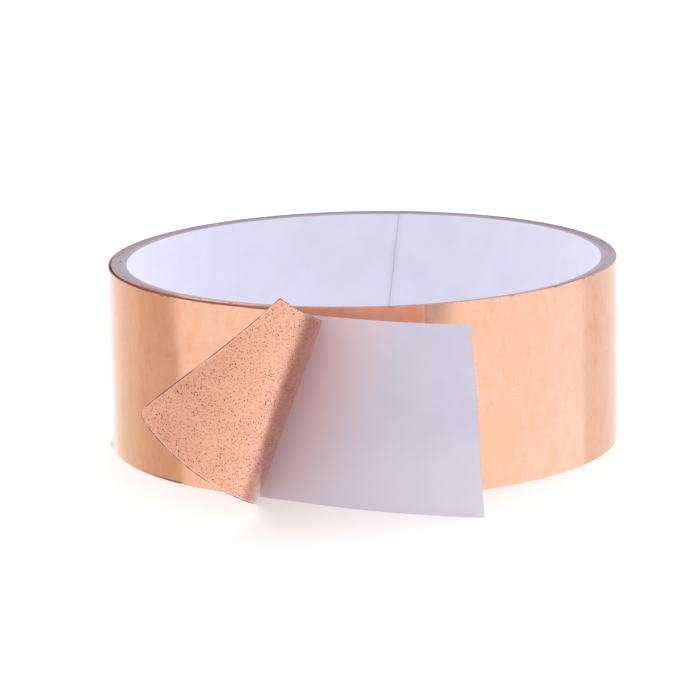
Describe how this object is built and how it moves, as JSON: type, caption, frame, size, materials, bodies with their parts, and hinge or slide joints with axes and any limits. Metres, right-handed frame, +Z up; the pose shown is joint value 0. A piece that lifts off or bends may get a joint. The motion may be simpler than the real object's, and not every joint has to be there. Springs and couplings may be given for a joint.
{
  "type": "copper foil tape roll",
  "caption": "Roll of copper foil tape on a thin paper core, its outer end loose, with the foil peeled back and curled away from the white release liner.",
  "frame": {"origin": "on the core's axis, at the lower edge of the tape, in the plane the roll lies on", "axes": "+Z up along the core's axis; the tape's loose end leaves the roll on the -Y side, to the left of its middle, and runs towards +X"},
  "size_m": [0.0833, 0.1077, 0.0373],
  "materials": {
    "core_paper": "matte",
    "core_board": "matte",
    "start_tab": "satin",
    "liner": "satin",
    "adhesive": "satin",
    "copper": "satin"
  },
  "bodies": {
    "roll": {"core_inner_ply": "core_paper", "core_middle_ply_1": "core_board", "core_middle_ply_2": "core_board", "core_outer_ply": "core_board", "start_tab": "start_tab", "liner_wound": "liner", "adhesive_wound": "adhesive", "foil_wound": "copper"},
    "outer_wrap": {"liner_wrap": "liner", "adhesive_wrap": "adhesive", "foil_wrap": "copper"},
    "tail": {"liner_tail": "liner", "adhesive_tail": "adhesive", "foil_tail": "copper", "adhesive_curl": "adhesive", "foil_curl": "copper"},
    "liner_end": {"liner_end": "liner"},
    "flap": {"adhesive_flap": "adhesive", "foil_flap": "copper"}
  },
  "joints": [
    {"name": "wrap_open", "type": "hinge", "parent": "roll", "child": "outer_wrap", "pos_m": [-0.02083, 0.03592, 0.015], "axis": [0, 0, -1], "range_deg": [0, 30]},
    {"name": "tail_swing", "type": "hinge", "parent": "outer_wrap", "child": "tail", "pos_m": [-0.02817, -0.03124, 0.015], "axis": [0, 0, -1], "range_deg": [0, 45]},
    {"name": "liner_swing", "type": "hinge", "parent": "tail", "child": "liner_end", "pos_m": [-0.00981, -0.04334, 0.015], "axis": [0, 0, 1], "range_deg": [-25, 10]},
    {"name": "flap_fold", "type": "hinge", "parent": "tail", "child": "flap", "pos_m": [-0.01309, -0.05663, 0.0179], "axis": [0.3332, -0.2042, 0.9205], "range_deg": [-15, 110]}
  ]
}
